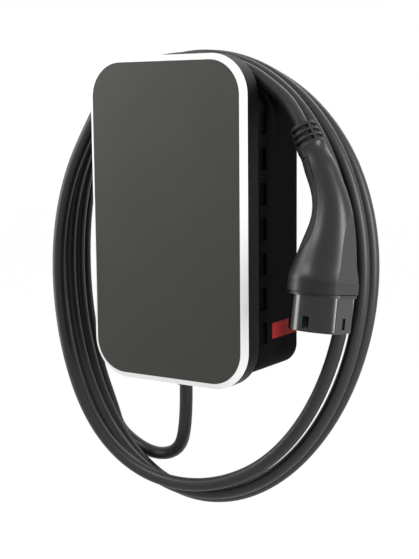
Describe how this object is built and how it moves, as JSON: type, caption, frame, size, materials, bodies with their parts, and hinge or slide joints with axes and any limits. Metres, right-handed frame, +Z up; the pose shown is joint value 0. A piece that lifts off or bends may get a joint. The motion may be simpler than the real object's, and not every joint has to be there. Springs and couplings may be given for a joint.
{
  "type": "ev wallbox",
  "caption": "Wall-mounted charging box for electric cars with a flat front panel, a lit edge ring, and a tethered cable coiled around it that ends in a handheld connector.",
  "frame": {"origin": "centre of the bracket's four wall-screw holes, on the wall plane behind the box", "axes": "+Z up; +Y into the wall, so that the front panel faces -Y; +X to the right as seen by someone facing the front"},
  "size_m": [0.4084, 0.1251, 0.5231],
  "materials": {
    "panel_dark_grey": "fine matte",
    "light_ring": "opal diffuser, lit evenly in white",
    "rim_black": "satin gloss moulding",
    "housing_black": "fine spark texture",
    "badge_red": "plain gloss plate",
    "black_plastic": "matte",
    "relay_black": "matte",
    "board_white": "white solder mask",
    "board_green": "green solder mask",
    "led_lens": "clear lens over phosphor",
    "terminal_grey": "matte",
    "ribbon_grey": "flat ribbon insulation",
    "screw_steel": "zinc-plated",
    "bracket_zinc": "galvanised sheet",
    "can_aluminium": "bare can",
    "can_steel": "tinned shield can",
    "brass": "turned",
    "contact_silver": "silver-plated copper",
    "seal_rubber": "soft seal",
    "gland_black": "moulded nylon",
    "gland_rubber": "moulded rubber",
    "sleeve_rubber": "moulded rubber",
    "cable_sheath": "satin extruded sheath",
    "core_insulation": "smooth insulation",
    "handle_grey": "fine matte moulding",
    "grip_black": "soft-touch moulding",
    "collar_grey": "satin moulding",
    "nose_black": "satin gloss moulding",
    "carrier_black": "matte moulding"
  },
  "bodies": {
    "root": {"front_panel": "panel_dark_grey", "light_ring": "light_ring", "panel_carrier": "black_plastic", "led_board": "board_white", "leds": "led_lens", "front_cover": "rim_black", "carrier_screws": "screw_steel", "cover_seal": "seal_rubber", "main_housing": "housing_black", "side_badge": "badge_red", "cover_screws": "screw_steel", "wall_bracket": "bracket_zinc", "lock_screw": "screw_steel", "supply_grommet": "seal_rubber", "power_board": "board_green", "board_screws": "screw_steel", "supply_terminals": "terminal_grey", "outlet_terminals": "terminal_grey", "terminal_screws": "screw_steel", "relays": "relay_black", "current_sensor": "black_plastic", "power_converter": "relay_black", "capacitors": "can_aluminium", "earth_bar": "brass", "board_spacers": "brass", "control_board": "board_green", "control_screws": "screw_steel", "control_chips": "black_plastic", "radio_module": "can_steel", "ring_lead_socket": "terminal_grey", "ring_lead": "ribbon_grey", "gland_body": "gland_black", "gland_locknut": "gland_black", "gland_nut": "gland_black", "gland_seal": "seal_rubber", "gland_boot": "gland_rubber", "cable_inner_end": "cable_sheath", "outlet_cores": "core_insulation", "handle_shell": "handle_grey", "grip_insert": "grip_black", "nose_collar": "collar_grey", "nose_shroud": "nose_black", "contact_carrier": "carrier_black", "contact_posts": "carrier_black", "power_contacts": "contact_silver", "signal_contacts": "contact_silver", "strain_sleeve": "sleeve_rubber", "cable_handle_end": "cable_sheath", "cord_clamp": "black_plastic", "core_bundle": "core_insulation", "cable_lead": "cable_sheath", "cable_drop": "cable_sheath", "cable_coil": "cable_sheath"}
  },
  "joints": []
}
